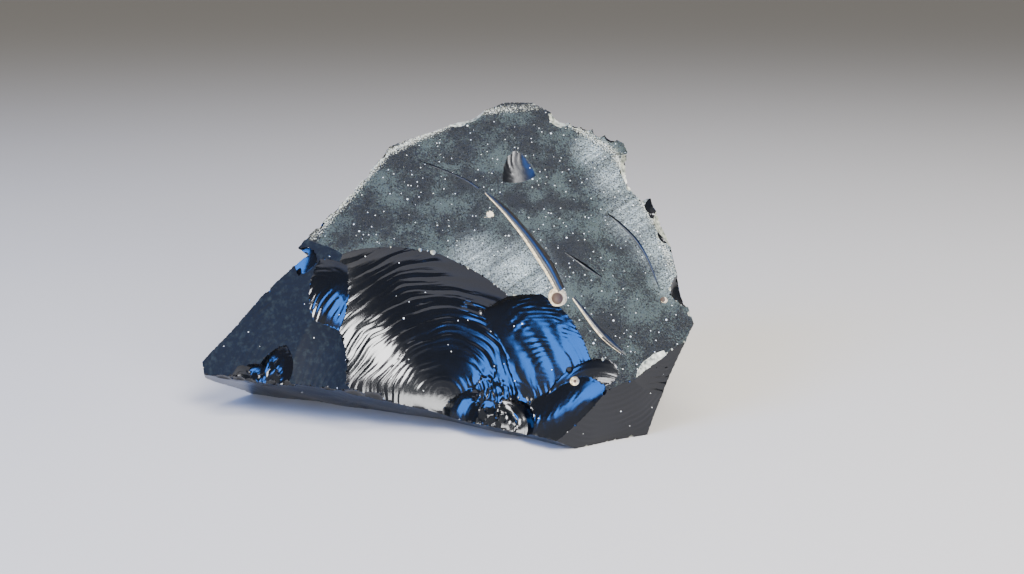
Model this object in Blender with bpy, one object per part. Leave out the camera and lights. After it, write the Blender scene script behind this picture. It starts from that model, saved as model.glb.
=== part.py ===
"""An obsidian chunk: one piece of volcanic glass, shaped the way a struck stone is.

It starts as a plain block, and every outer surface is one fracture: a bowl or a dome of
broken glass whose ripples run in rings round the point where the blow landed. Each
fracture is a tool that a Boolean takes off the block, so every sharp ridge is simply
where two fractures meet. Grooves, gas bubbles and edge nicks are cut last.
The tables are in millimetres and degrees: +X to the right, +Y to the back, +Z up.
"""

import math
import random
from collections import namedtuple

import bmesh
import bpy
from mathutils import Matrix, Vector, noise

MM = 0.001

# Driving dimensions. The block that the chunk is struck from, wide, deep and high, stands on
# z = 0, and its underside stays as the resting face.
BLOCK = (132.0, 84.0, 84.0)
BLOCK_BACK = 4.0  # how far the block's middle lies behind the tables' origin
ORIGIN = (-0.42, 4.36, 0.0)  # the tables' point under the middle of the finished chunk

# Every fracture is drawn round its lowest point, which lies on the glass.
#   centre  that point
#   faces   which way it looks there: degrees to the right of the front, degrees above level,
#           and how far its own axes are turned about that direction
#   bend    radius of the surface across and up its face: a plus is a bowl, a minus is a dome
#   blow    where the blow landed, across and up the face from the centre
#   reach   how far the break ran from the blow
#   rings   how many ripples the shock left
#   relief  how high they stand
Fracture = namedtuple("Fracture", "name centre faces bend blow reach rings relief")

# The broad faces that give the chunk its outline.
FACES = (
    Fracture("weathered_face", (12, -1, 44), (3, 40, 0), (-380, -900), (32, -30), 150, 7, 0.12),
    Fracture("wing_face", (-45, -3.5, 21), (-17, 22, 0), (300, 200), (14, -12), 60, 4, 0.12),
    Fracture("end_face", (36, -24, 12), (28, -13, 0), (260, 200), (4, 8), 60, 3, 0.06),
    Fracture("corner_facet", (52, -15.5, 19), (32, -2, 0), (60, 60), (0, 8), 40, 3, 0.06),
    Fracture("front_platform", (-25, -11, 9), (-22, -60, 0), (500, 300), (20, 0), 110, 4, 0.15),
    Fracture("left_back", (-23, 8.6, 56), (-122, 20, 0), (140, 90), (0, -14), 60, 5, 0.2),
    Fracture("left_shoulder", (-37.2, 3, 38.4), (-134, 28, 0), (36, 36), (0, -4), 18, 4, 0.2),
    Fracture("wing_tip_back", (-53.6, 1, 19.6), (-132, 28, 0), (300, -90), (4, -4), 34, 4, 0.2),
    Fracture("wing_tip_end", (-60.2, -2, 13), (-76, -8, 0), (40, 30), (0, -4), 14, 1, 0.05),
    Fracture("right_back", (53.6, 8, 51), (118, 8, 0), (300, 260), (0, 20), 110, 5, 0.2),
    Fracture("right_side", (58, -6, 33), (98, 7, 0), (300, 260), (0, 20), 110, 5, 0.2),
    Fracture("right_undercut", (53.3, -8, 12), (84, -22, 0), (90, 120), (0, 20), 60, 3, 0.15),
    Fracture("back_upper_left", (-2, 21.5, 67.5), (-156, 16, 0), (260, 220), (0, 5), 120, 6, 0.25),
    Fracture("back_upper_right", (34.3, 24.6, 67), (160, 16, 0), (240, 220), (0, 5), 120, 6, 0.25),
    Fracture("crown", (16, 27, 75), (178, 50, 0), (200, 100), (0, 5), 60, 6, 0.25),
    Fracture("back_foot", (5, 32, 22), (175, -22, 0), (220, 160), (0, -20), 120, 5, 0.25),
)

# The flake scars: where a flake came off a face.
SCARS = (
    Fracture("main_scar", (-2.5, -8.8, 16), (-5, 29, 51), (34, 62), (-5.5, -7), 46, 11, 0.28),
    Fracture("blue_scar", (27.9, -15.6, 20.1), (-22, 27, 0), (90, 60), (-3, -14), 28, 6, 0.12),
    Fracture("beak_scar", (45.2, -20, 17.6), (4, 41, 3), (-40, 14), (-9.5, -10), 13.8, 4, 0.1),
    Fracture("upper_lobe", (-29.6, -2.2, 34.2), (-2, 14, 0), (16, 24), (0, -6), 12, 3, 0.1),
    Fracture("lower_lobe", (-27.6, -8.6, 18.6), (-22, 20, 0), (18, 27), (0, -8), 17, 4, 0.12),
    Fracture("wing_chip", (-39.5, -6.7, 15.4), (-30, 20, 20), (10, 14), (2, -5), 9, 2, 0.08),
    Fracture("wing_nick_inner", (-45, -6.2, 12.4), (-40, 30, 0), (6, 8), (0, -2), 4, 1, 0.05),
    Fracture("wing_nick_outer", (-50, -5, 12.2), (10, 10, 0), (6, 8), (0, -2), 4, 1, 0.05),
    Fracture("crushed_left", (8.5, -15.6, 8.6), (-46, 22, 0), (9, 14), (0, -3), 6, 2, 0.08),
    Fracture("crushed_middle", (13.2, -18.8, 6), (30, 30, 0), (10, 12), (0, -2), 6, 2, 0.08),
    Fracture("crushed_right", (18.6, -21.6, 6), (-20, 20, 0), (8, 10), (0, -2), 5, 2, 0.08),
    Fracture("bead_scar", (23.4, -23.6, 8.4), (-50, 30, 0), (5, 6), (0, 0), 3, 1, 0.05),
    Fracture("crescent_chip", (16.2, 14.2, 60.4), (24, 36, -12), (3.4, 26), (0, 5), 8, 3, 0.1),
    Fracture("top_scallop", (4.6, 24.2, 71.2), (-12, 66, 0), (8, 7), (0, 0), 6.5, 2, 0.1),
    Fracture("top_hollow", (28.6, 24.6, 69.9), (16, 60, 0), (3.2, 3.2), (0, 0), 3.2, 0, 0.0),
    Fracture("edge_scallop", (52.6, 5.8, 45.4), (74, 34, 0), (14, 12), (0, 0), 8, 2, 0.12),
    Fracture("edge_bite", (44.4, 14, 57.6), (104, 10, 0), (14, 9), (0, 0), 7, 2, 0.12),
    Fracture("edge_notch", (54.8, -4.6, 32.8), (84, 14, 0), (5, 4), (0, 0), 4.5, 1, 0.05),
    Fracture("back_hollow", (10, 30, 44), (172, 2, 20), (70, 52), (0, 22), 60, 7, 0.28),
    Fracture("back_left_scar", (-25, 15, 24), (-150, 6, 10), (60, 46), (4, -14), 44, 6, 0.25),
    Fracture("back_right_scar", (46, 15, 26), (142, -4, -12), (52, 60), (0, 18), 44, 6, 0.25),
    Fracture("foot_tip", (41.0, 24.4, 1.5), (146, 6, 0), (20, 20), (0, 0), 5, 1, 0.05),
    Fracture("back_foot_flake", (16, 32, 11), (168, -30, 0), (26, 20), (0, -6), 20, 4, 0.2),
    Fracture("heel_flake", (-14, 27, 9), (-164, -28, 0), (24, 18), (0, -6), 18, 4, 0.2),
)

# Gas bubbles that the breaks opened: small round pits.
BUBBLES = (
    Fracture("crusted_bubble", (27.1, -8.1, 31.6), (4, 39, 0), (0.9, 1.3), (0, 0), 1.8, 0, 0.0),
    Fracture("scar_bubble", (31.1, -18.9, 14.5), (-12, 36, 0), (0.8, 0.8), (0, 0), 1.1, 0, 0.0),
    Fracture("edge_bubble", (52.4, -6.4, 31), (40, 36, 0), (0.9, 0.9), (0, 0), 1.2, 0, 0.0),
)

# Tapered grooves in the weathered face: points just over the glass, each with the groove's radius there.
GROOVES = (
    ("long_groove", ((7.9, 9.1, 56.7), 0.3), ((15.8, 3.8, 50.1), 1.0), ((24.2, -3.5, 40.4), 1.6),
     ((27.9, -8.2, 34.2), 1.2)),
    ("short_groove", ((31.0, -9.4, 32.7), 0.5), ((38.0, -14.8, 25.1), 1.1), ((44.4, -18.2, 20.0), 0.6)),
)

# Rows of small nicks along the sharp edges: name, first and last point, how many, which way they
# face, and their mean width.
NICKS = (
    ("top_right_nick", (30, 23.8, 71.2), (43, 20.5, 65.5), 4, (130, 50), 2.4),
    ("right_nick", (48.5, 10, 53.5), (57, -3, 37), 5, (100, 40), 2.4),
    ("left_nick", (-32.4, 0.2, 45.4), (-15, 15.6, 63.9), 5, (-100, 46), 2.0),
    ("wing_nick", (-58, -2.6, 10), (-36, -8.8, 10.2), 5, (-20, -20), 2.6),
    ("front_nick", (-30, -11.3, 10), (8, -19, 6.4), 6, (-12, -16), 2.4),
)
NICK_SEED = 7

LID = 90.0  # how far every cutter stands out of the glass


# Every break is a little uneven: its waves' length, and their height over the break's reach
WAVE_LENGTH = 14
WAVE_SHARE = 0.018
WAVE_REACH = 40  # a longer break is no more uneven than one of this reach

# Ripples fill this share of a break's reach, and crowd together towards its end
RIPPLED_SHARE = 0.9
RING_CROWDING = 0.75

# How many sides each kind of cutter has
FACE_SIDES = 24
SCAR_SIDES = 32
SMALL_SCAR_SIDES = 14
SMALL_REACH = 20
BUBBLE_SIDES = 10
NICK_SIDES = 9


def facing(faces):
    """The turn that stands a face's own axes (across, up the face, out of the glass) in the chunk."""
    across, above, roll = (math.radians(angle) for angle in faces)
    out = Vector((math.sin(across) * math.cos(above), -math.cos(across) * math.cos(above), math.sin(above)))
    right = Vector((math.cos(across), math.sin(across), 0))
    return Matrix((right, out.cross(right), out)).transposed() @ Matrix.Rotation(roll, 3, "Z")


def ring_heights(fracture):
    """Radius and ripple height of each ring of points: three to a ripple, closer as the shock runs out."""
    count = max(fracture.rings * 3, 4)
    heights = []
    for step in range(1, count + 1):
        share = step / count
        crest = (1.0, -0.2, -0.8)[step % 3] * fracture.relief
        heights.append((fracture.reach * RIPPLED_SHARE * share**RING_CROWDING, crest * (0.5 + 0.5 * share)))
    return heights + [(fracture.reach, 0.0)]


def add_tool(name, mesh):
    """Put a cutter in the scene and hide it from the render."""
    tool = bpy.data.objects.new(name, mesh)
    bpy.context.scene.collection.objects.link(tool)
    tool.hide_render = True
    tool.display_type = "WIRE"
    return tool


def fracture_tool(fracture, sides):
    """A closed tool whose underside is the fracture surface, drawn in rings round the blow."""
    shape = bmesh.new()
    turn = facing(fracture.faces)
    bend_u, bend_v = fracture.bend
    blow_u, blow_v = fracture.blow
    uneven = WAVE_SHARE * min(fracture.reach, WAVE_REACH)

    def corner(u, v, depth):
        return shape.verts.new((Vector(fracture.centre) + turn @ Vector((u, v, depth))) * MM)

    def place(u, v, ripple):
        wave = noise.noise(Vector((u, v, sum(fracture.centre))) / WAVE_LENGTH) * uneven
        return corner(u, v, u * u / (2 * bend_u) + v * v / (2 * bend_v) + ripple + wave)

    circle = [(math.cos(math.tau * side / sides), math.sin(math.tau * side / sides)) for side in range(sides)]
    rows = []
    for radius, ripple in ring_heights(fracture):
        rows.append([place(blow_u + radius * x, blow_v + radius * y, ripple) for x, y in circle])
    rows.append([corner(blow_u + fracture.reach * x, blow_v + fracture.reach * y, LID) for x, y in circle])
    middle = place(blow_u, blow_v, 0)
    for side in range(sides):
        after = (side + 1) % sides
        shape.faces.new((middle, rows[0][after], rows[0][side]))
        for inner, outer in zip(rows, rows[1:]):
            shape.faces.new((inner[side], inner[after], outer[after], outer[side]))
    shape.faces.new(rows[-1])
    bmesh.ops.triangulate(shape, faces=shape.faces)
    bmesh.ops.recalc_face_normals(shape, faces=shape.faces)
    mesh = bpy.data.meshes.new(fracture.name)
    shape.to_mesh(mesh)
    shape.free()
    return add_tool(fracture.name, mesh)


def groove_tool(name, *points):
    """A tapered round bar that lies half sunk in the glass."""
    curve = bpy.data.curves.new(name, "CURVE")
    curve.dimensions = "3D"
    curve.bevel_depth = MM
    curve.bevel_resolution = 2
    curve.resolution_u = 4
    curve.use_fill_caps = True
    spline = curve.splines.new("BEZIER")
    spline.bezier_points.add(len(points) - 1)
    for knot, (place, radius) in zip(spline.bezier_points, points):
        knot.co = Vector(place) * MM
        knot.radius = radius
        knot.handle_left_type = knot.handle_right_type = "AUTO"
    guide = bpy.data.objects.new(name + "_guide", curve)
    mesh = bpy.data.meshes.new_from_object(guide)
    bpy.data.objects.remove(guide)
    shape = bmesh.new()
    shape.from_mesh(mesh)
    bmesh.ops.remove_doubles(shape, verts=shape.verts, dist=0.001 * MM)
    shape.to_mesh(mesh)
    shape.free()
    return add_tool(name, mesh)


def nick_tools(name, first, last, count, faces, width):
    """Small scallops of uneven size along one edge."""
    chance = random.Random(name + str(NICK_SEED))
    tools = []
    for number in range(count):
        share = (number + chance.uniform(0.2, 0.8)) / count
        size = width * chance.uniform(0.5, 1.4)
        turned = (faces[0] + chance.uniform(-30, 30), faces[1] + chance.uniform(-15, 15), 0)
        place = Vector(first).lerp(Vector(last), share) - facing(turned) @ Vector((0, 0, size * 0.2))
        nick = Fracture(f"{name}_{number}", place, turned, (size, size), (0, 0), size * 1.2, 0, 0.0)
        tools.append(fracture_tool(nick, NICK_SIDES))
    return tools


def broad_tools():
    """The cutters of the faces, the flake scars and the grooves, in the order in which the glass is struck."""
    tools = [fracture_tool(fracture, FACE_SIDES) for fracture in FACES]
    for scar in SCARS:
        tools.append(fracture_tool(scar, SCAR_SIDES if scar.reach > SMALL_REACH else SMALL_SCAR_SIDES))
    return tools + [groove_tool(*groove) for groove in GROOVES]


def small_tools():
    """The cutters of the nicks and the bubbles."""
    tools = [fracture_tool(bubble, BUBBLE_SIDES) for bubble in BUBBLES]
    for row in NICKS:
        tools += nick_tools(*row)
    return tools


def strike(chunk, tools, solver):
    """Take each tool off the chunk."""
    for tool in tools:
        cut = chunk.modifiers.new(tool.name, "BOOLEAN")
        cut.operation = "DIFFERENCE"
        cut.solver = solver
        cut.object = tool
    for piece in tools:
        piece.location -= Vector(ORIGIN) * MM


def volcanic_glass():
    """Black glass with a soft polish."""
    glass = bpy.data.materials.new("volcanic_glass")
    glass.use_nodes = True
    surface = glass.node_tree.nodes["Principled BSDF"]
    surface.inputs["Base Color"].default_value = (0.012, 0.013, 0.015, 1)
    surface.inputs["Roughness"].default_value = 0.18
    surface.inputs["Metallic"].default_value = 0.0
    surface.inputs["IOR"].default_value = 1.49
    return glass


def block():
    """The plain block, standing on z = 0."""
    bpy.ops.mesh.primitive_cube_add(size=1, location=(0, BLOCK_BACK * MM, BLOCK[2] / 2 * MM))
    chunk = bpy.context.object
    chunk.scale = [side * MM for side in BLOCK]
    bpy.ops.object.transform_apply(location=True, scale=True)
    return chunk


def main():
    for old in list(bpy.data.objects):
        bpy.data.objects.remove(old)
    chunk = block()
    chunk.name = "obsidian_chunk"
    chunk.data.materials.append(volcanic_glass())
    chunk.location -= Vector(ORIGIN) * MM
    strike(chunk, broad_tools(), "EXACT")
    strike(chunk, small_tools(), "MANIFOLD")  # EXACT leaves open edges round cuts this small


main()
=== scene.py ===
"""The looks of the obsidian chunk: the struck glass with its fine ripples, dusty old face and light.

The chunk is struck again here from the same fractures as the solid, on a mesh fine enough to
hold the small ripples, the crushed facets and the worn edges.
Lengths in the tables are millimetres and angles degrees, in the tables' own frame, where the
finished chunk's origin lies at TABLE_ORIGIN.
"""

import math
import random
from collections import namedtuple

import bmesh
import bpy
import numpy as np
from bpy.props import FloatProperty, FloatVectorProperty, PointerProperty
from mathutils import Matrix, Vector, noise


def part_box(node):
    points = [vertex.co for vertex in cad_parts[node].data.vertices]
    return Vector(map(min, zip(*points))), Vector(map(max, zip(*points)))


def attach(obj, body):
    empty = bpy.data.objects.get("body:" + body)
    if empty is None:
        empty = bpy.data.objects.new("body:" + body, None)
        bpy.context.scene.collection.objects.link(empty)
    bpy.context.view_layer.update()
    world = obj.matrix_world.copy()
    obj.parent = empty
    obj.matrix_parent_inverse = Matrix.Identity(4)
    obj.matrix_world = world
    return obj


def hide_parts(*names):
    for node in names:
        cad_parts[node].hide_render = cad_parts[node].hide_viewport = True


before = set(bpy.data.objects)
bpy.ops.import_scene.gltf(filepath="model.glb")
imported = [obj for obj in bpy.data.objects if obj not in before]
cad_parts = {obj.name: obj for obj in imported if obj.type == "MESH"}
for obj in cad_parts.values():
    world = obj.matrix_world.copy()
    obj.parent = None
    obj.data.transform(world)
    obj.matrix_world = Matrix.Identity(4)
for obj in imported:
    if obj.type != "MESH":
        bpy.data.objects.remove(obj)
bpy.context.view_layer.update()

bl_info = {
    "name": "Obsidian chunk",
    "version": (1, 0, 0),
    "blender": (4, 5, 0),
    "location": "3D View > Sidebar > Chunk",
    "description": "Strikes an obsidian chunk, gives it its glass and dust, and lights it",
    "category": "Add Mesh",
}

NODE = "obsidian_chunk"
MM = 0.001
TURN = math.tau

# ---------------------------------------------------------------------------
# The glass and how it broke
# ---------------------------------------------------------------------------

# The block that is struck and how far back its middle lies, and how far out a cutter goes
BLOCK = (132.0, 84.0, 84.0)
BLOCK_BACK = 4.0
TABLE_ORIGIN = (-0.42, 4.36, 0.0)
LID = 90.0

# A break: where its middle lies; the angles across and above that it faces, and its roll; how it bends
# along its own two axes (the radius of a hollow, or of a dome where negative); where the blow fell,
# from its middle; how far it reaches from the blow; its ripples and their height; and its glass
Fracture = namedtuple("Fracture", "name centre faces bend blow reach rings relief finish")

# The glass that a break shows: the dusty old face, a fresh break, a bubble's mineral lining, an edge
# crushed pale, a break dulled by handling, or the silky wall of a gas tube
OLD, FRESH, CRUST, BRUISED, DULL, SILKY = range(6)
GLASS_NAMES = (
    "weathered_obsidian", "fresh_obsidian", "mineral_crust", "bruised_obsidian", "dulled_obsidian",
    "silky_obsidian",
)

FACES = (
    Fracture("weathered_face", (12, -1, 44), (3, 40, 0), (-380, -900), (32, -30), 150, 7, 0.12, OLD),
    Fracture("wing_face", (-45, -3.5, 21), (-17, 22, 0), (300, 200), (14, -12), 60, 4, 0.12, DULL),
    Fracture("end_face", (36, -24, 12), (28, -13, 0), (260, 200), (4, 8), 60, 3, 0.06, FRESH),
    Fracture("corner_facet", (52, -15.5, 19), (32, -2, 0), (60, 60), (0, 8), 40, 3, 0.06, FRESH),
    Fracture("front_platform", (-25, -11, 9), (-22, -60, 0), (500, 300), (20, 0), 110, 4, 0.15, FRESH),
    Fracture("left_back", (-23, 8.6, 56), (-122, 20, 0), (140, 90), (0, -14), 60, 5, 0.2, FRESH),
    Fracture("left_shoulder", (-37.2, 3, 38.4), (-134, 28, 0), (36, 36), (0, -4), 18, 4, 0.2, FRESH),
    Fracture("wing_tip_back", (-53.6, 1, 19.6), (-132, 28, 0), (300, -90), (4, -4), 34, 4, 0.2, FRESH),
    Fracture("wing_tip_end", (-60.2, -2, 13), (-76, -8, 0), (40, 30), (0, -4), 14, 1, 0.05, FRESH),
    Fracture("right_back", (53.6, 8, 51), (118, 8, 0), (300, 260), (0, 20), 110, 5, 0.2, FRESH),
    Fracture("right_side", (58, -6, 33), (98, 7, 0), (300, 260), (0, 20), 110, 5, 0.2, FRESH),
    Fracture("right_undercut", (53.3, -8, 12), (84, -22, 0), (90, 120), (0, 20), 60, 3, 0.15, FRESH),
    Fracture("back_upper_left", (-2, 21.5, 67.5), (-156, 16, 0), (260, 220), (0, 5), 120, 6, 0.25, OLD),
    Fracture("back_upper_right", (34.3, 24.6, 67), (160, 16, 0), (240, 220), (0, 5), 120, 6, 0.25, OLD),
    Fracture("crown", (16, 27, 75), (178, 50, 0), (200, 100), (0, 5), 60, 6, 0.25, FRESH),
    Fracture("back_foot", (5, 32, 22), (175, -22, 0), (220, 160), (0, -20), 120, 5, 0.25, OLD),
)

SCARS = (
    Fracture("main_scar", (-2.5, -8.8, 16), (-5, 29, 51), (34, 62), (-5.5, -7), 46, 11, 0.28, FRESH),
    Fracture("blue_scar", (27.9, -15.6, 20.1), (-22, 27, 0), (90, 60), (-3, -14), 28, 11, 0.15, FRESH),
    Fracture("beak_scar", (45.2, -20, 17.6), (4, 41, 3), (-40, 14), (-9.5, -10), 13.8, 4, 0.1, FRESH),
    Fracture("upper_lobe", (-29.6, -2.2, 34.2), (-2, 14, 0), (16, 24), (0, -6), 12, 22, 0.2, FRESH),
    Fracture("lower_lobe", (-27.6, -8.6, 18.6), (-22, 20, 0), (18, 27), (0, -8), 17, 20, 0.14, DULL),
    Fracture("wing_chip", (-39.5, -6.7, 15.4), (-30, 20, 20), (15, 20), (2, -5), 9, 1, 0.05, FRESH),
    Fracture("wing_nick_inner", (-45, -6.2, 12.4), (-40, 30, 0), (6, 8), (0, -2), 4, 1, 0.05, FRESH),
    Fracture("wing_nick_outer", (-50, -5, 12.2), (10, 10, 0), (6, 8), (0, -2), 4, 1, 0.05, FRESH),
    Fracture("crushed_left", (8.5, -15.6, 8.6), (-46, 22, 0), (9, 14), (0, -3), 6, 2, 0.08, FRESH),
    Fracture("crushed_middle", (13.2, -18.8, 6), (30, 30, 0), (10, 12), (0, -2), 6, 2, 0.08, FRESH),
    Fracture("crushed_right", (18.6, -21.6, 6), (-20, 20, 0), (8, 10), (0, -2), 5, 2, 0.08, FRESH),
    Fracture("bead_scar", (23.4, -23.6, 8.4), (-50, 30, 0), (5, 6), (0, 0), 3, 1, 0.05, FRESH),
    Fracture("crescent_chip", (16.2, 14.4, 60.1), (20, 32, -8), (5, 50), (0, 3), 8, 9, 0.35, SILKY),
    Fracture("top_scallop", (4.6, 24.2, 71.2), (-12, 66, 0), (8, 7), (0, 0), 6.5, 2, 0.1, BRUISED),
    Fracture("top_hollow", (28.6, 24.6, 69.9), (16, 60, 0), (3.2, 3.2), (0, 0), 3.2, 0, 0.0, BRUISED),
    Fracture("edge_scallop", (52.6, 5.8, 45.4), (74, 34, 0), (14, 12), (0, 0), 8, 2, 0.12, BRUISED),
    Fracture("edge_bite", (44.4, 14, 57.6), (104, 10, 0), (14, 9), (0, 0), 7, 2, 0.12, BRUISED),
    Fracture("edge_notch", (54.8, -4.6, 32.8), (84, 14, 0), (5, 4), (0, 0), 4.5, 1, 0.05, FRESH),
    Fracture("back_hollow", (10, 30, 44), (172, 2, 20), (70, 52), (0, 22), 60, 7, 0.28, FRESH),
    Fracture("back_left_scar", (-25, 15, 24), (-150, 6, 10), (60, 46), (4, -14), 44, 6, 0.25, FRESH),
    Fracture("back_right_scar", (46, 15, 26), (142, -4, -12), (52, 60), (0, 18), 44, 6, 0.25, FRESH),
    Fracture("foot_tip", (41.0, 24.4, 1.5), (146, 6, 0), (20, 20), (0, 0), 5, 1, 0.05, FRESH),
    Fracture("back_foot_flake", (16, 32, 11), (168, -30, 0), (26, 20), (0, -6), 20, 4, 0.2, FRESH),
    Fracture("heel_flake", (-14, 27, 9), (-164, -28, 0), (24, 18), (0, -6), 18, 4, 0.2, FRESH),
)

BUBBLES = (
    Fracture("crusted_bubble", (27.1, -7.8, 31.4), (4, 39, 0), (1.3, 1.9), (0, 0), 2.4, 0, 0.0, CRUST),
    Fracture("scar_bubble", (31.1, -18.9, 14.5), (-12, 36, 0), (0.8, 0.8), (0, 0), 1.1, 0, 0.0, CRUST),
    Fracture("edge_bubble", (52.4, -6.4, 31), (40, 36, 0), (0.9, 0.9), (0, 0), 1.2, 0, 0.0, CRUST),
)

GROOVES = (
    ("long_groove", ((7.9, 9.1, 56.7), 0.3), ((15.8, 3.8, 50.1), 1.0), ((24.2, -3.5, 40.4), 1.6),
     ((27.9, -8.2, 34.2), 1.2)),
    ("short_groove", ((31.0, -9.4, 32.7), 0.5), ((38.0, -14.8, 25.1), 1.1), ((44.4, -18.2, 20.0), 0.6)),
)

NICKS = (
    ("top_right_nick", (30, 23.8, 71.2), (43, 20.5, 65.5), 4, (130, 50), 2.4),
    ("right_nick", (48.5, 10, 53.5), (57, -3, 37), 5, (100, 40), 2.4),
    ("left_nick", (-32.4, 0.2, 45.4), (-15, 15.6, 63.9), 5, (-100, 46), 2.0),
    ("wing_nick", (-58, -2.6, 10), (-36, -8.8, 10.2), 5, (-20, -20), 2.6),
    ("front_nick", (-30, -11.3, 10), (8, -19, 6.4), 6, (-12, -16), 2.4),
)
# Chance in the nicks: where each lies in its part of the row, its size over the row's own, how far
# it turns across and above, and how deep it sinks and how far it reaches over its size
NICK_SEED = 7
NICK_PLACES = (0.2, 0.8)
NICK_SIZES = (0.5, 1.4)
NICK_TURNS = (30, 15)
NICK_SINK = 0.2
NICK_REACH = 1.2

# Small breaks, thinner than the solid shows
FLAKES = (
    Fracture("shoulder_flake", (-34.0, 0.2, 39.2), (-24, 24, 0), (20, 40), (0, 0), 3.3, 0, 0, FRESH),
    # The corner chip's pale bruised finish is painted reflection: it stands in for the pale reflection on
    # the corner facet
    Fracture("corner_chip", (48.6, -17.2, 18.4), (20, 30, 0), (30, 30), (0, 0), 5, 0, 0, BRUISED),
    Fracture("scallop_rim", (2.8, 21.6, 70.0), (-6, 52, 0), (10, 6), (0, 0), 5.5, 0, 0, BRUISED),
    Fracture("beak_flake", (32.9, -21.3, 12.4), (-22, 27, 42), (60, 12), (0, -14), 22, 9, 0.06, FRESH),
)

# Where the waves of some breaks come from, when that is far from the middle of the tool
WAVES_FROM = {
    "upper_lobe": (30, -20), "lower_lobe": (24, -10), "beak_flake": (26, -10), "crescent_chip": (9, 2),
    "blue_scar": (-24, -16),
}

# Where blows have crushed fresh glass to small flat facets: a place and a radius
CRUSHED = (
    ((10.6, -14.2, 11.5), 5.5), ((13.5, -19, 8), 6), ((19, -21.5, 7), 5), ((24.2, -23.6, 9.1), 3),
    ((-49, -5.0, 12.2), 5), ((-43, -6.0, 13), 5), ((-46, -4.6, 16), 4), ((55, -6.5, 30.5), 3.5),
)
# The share of a patch's radius over which the facets rise to their full height
CRUSHED_EDGE = 0.25
FACET_SIZE = 2.4
FACET_TILT = 0.5
# Spreads the facets' middles apart in the noise, so that neighbours tilt unlike one another, and
# the seed of their tilts, which would follow the clock without one
FACET_SPREAD = 5.3
FACET_SEED = 3

# Crumbling along the sharpest edges: pebbles of glass gone, spaced by chance. Their wear is a share
# that holds everywhere and one that comes and goes in patches
CRUMB_SEED = 3
CRUMB_ANGLE = 52
CRUMB_SIZES = (0.25, 1.2)
CRUMB_SPACING = 0.3
CRUMB_PATCH = 9.0
CRUMB_WEAR = (0.9, 1.4)
# The higher this is, the fewer of the pebbles are large
CRUMB_RARITY = 2.5
# How far out of the edge a pebble's middle lies, and how far apart two lie, over their sizes
CRUMB_OUT = (0.05, 0.5)
CRUMB_GAP = 1.35
# A pebble's own unevenness: its height over the size, and how quickly it changes round the pebble
CRUMB_ROUGHNESS = 0.7
CRUMB_LUMPS = 1.3
# The share of the pebbles on the old face's edge that leave a pale bruise
CRUMB_PALE = 0.65

# Which side of a groove is lined with cream crust, low and to the left as it is looked down on, and
# how squarely a wall faces that side to be lined; and how deep a groove lies, over its radius
GROOVE_LINING = (-0.817, -0.41, -0.41)
GROOVE_LINED = 0.4
GROOVE_SINK = 0.2
HAIRLINES = (
    ("hairline", ((-9.4, 14.7, 62.7), 0.16), ((-1.8, 12.9, 60.2), 0.26), ((4.5, 10.9, 57.8), 0.28),
     ((8.1, 9.1, 55.8), 0.3)),
    ("right_crease", ((37, 8.1, 51.6), 0.16), ((43, 5.4, 47.6), 0.4), ((47.8, 2.1, 42.7), 0.45),
     ((52.2, -4.9, 33.1), 0.16)),
    ("short_crease", ((29.4, -1.8, 41.8), 0.2), ((34, -3.5, 38.9), 0.55), ((38, -4.8, 36.4), 0.2)),
)

# Broad unevenness of every break: its height over the break's reach, and its length
WAVE_SHARE = 0.018
WAVE_REACH = 40
WAVE_LENGTH = 14

# Ripples: how far out they go over the reach, how they crowd towards the end, how far they stray
# (each stray's length and size) and from how far out, and the patches in which they come and go
RIPPLE_END = 0.9
RIPPLE_CROWDING = 4 / 3
RIPPLE_LEAN = 0.25
RIPPLE_STRAYS = ((9, 1.1), (3.7, 0.3))
RIPPLE_STRAY_FROM = 8
RIPPLE_PATCH = 12
RIPPLE_STRENGTH = 0.8
RIPPLE_PATCH_PLACE = Vector((0, 0, 31))

# Fine waves: the spacing and height of each set over the settings', and the share left on old glass
FINE_WAVES = ((1, 1, 0.3), (2.3, 1.9, 0.2))
# Their patches, the strength that holds everywhere and the one that comes and goes, and their stray
FINE_PATCH = 6
FINE_STRENGTH = (0.55, 1.3)
FINE_STRAY = 1.5
# A break that reaches less than this has lower waves, and no wave starts this close to where they
# come from, over the reach
FINE_FULL_REACH = 30
FINE_CALM = 0.25

# Grain of the old face: its length and how its finer layers follow, and the length and height of a
# broader swell over the grain's height
OLD_GRAIN = 2.2
OLD_GRAIN_LAYERS = (0.8, 2.1, 3)
OLD_SWELL = (9, 2.5)
OLD_SWELL_PLACE = Vector((0, 40, 0))

# The mesh, over the spacing of its rings: the steps out from the blow on broad faces and at the
# back, the steps along the rings, and how much coarser a break is that reaches far
FACE_STEP = 1.6
BACK_STEP = 2
FINE_ARC = 3
COARSE_ARC = 4
FAR_REACH = 100
FAR_STEP = 2
FEWEST_RINGS = 8
FEWEST_SIDES = 20
# The weathered face is a sheet: even steps this far out from its middle, and a few wide ones beyond
SHEET_NEAR = 58
SHEET_STEP = 2.6
SHEET_OUTER = 6

# Edges that turn more than this are sharp
SHARP_ANGLE = 32


def facing(faces):
    """The turn that stands a face's own axes (across, up the face, out of the glass) in the chunk."""
    across, above, roll = (math.radians(angle) for angle in faces)
    out = Vector((math.sin(across) * math.cos(above), -math.cos(across) * math.cos(above), math.sin(above)))
    right = Vector((math.cos(across), math.sin(across), 0))
    return Matrix((right, out.cross(right), out)).transposed() @ Matrix.Rotation(roll, 3, "Z")


def ripple(turns):
    """A wave from -1 to 1 with a sharp crest and a wide trough, as ripples in struck glass have."""
    return 1 - 2 * abs(math.sin(math.pi * turns)) + RIPPLE_LEAN * math.sin(TURN * turns)


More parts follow.
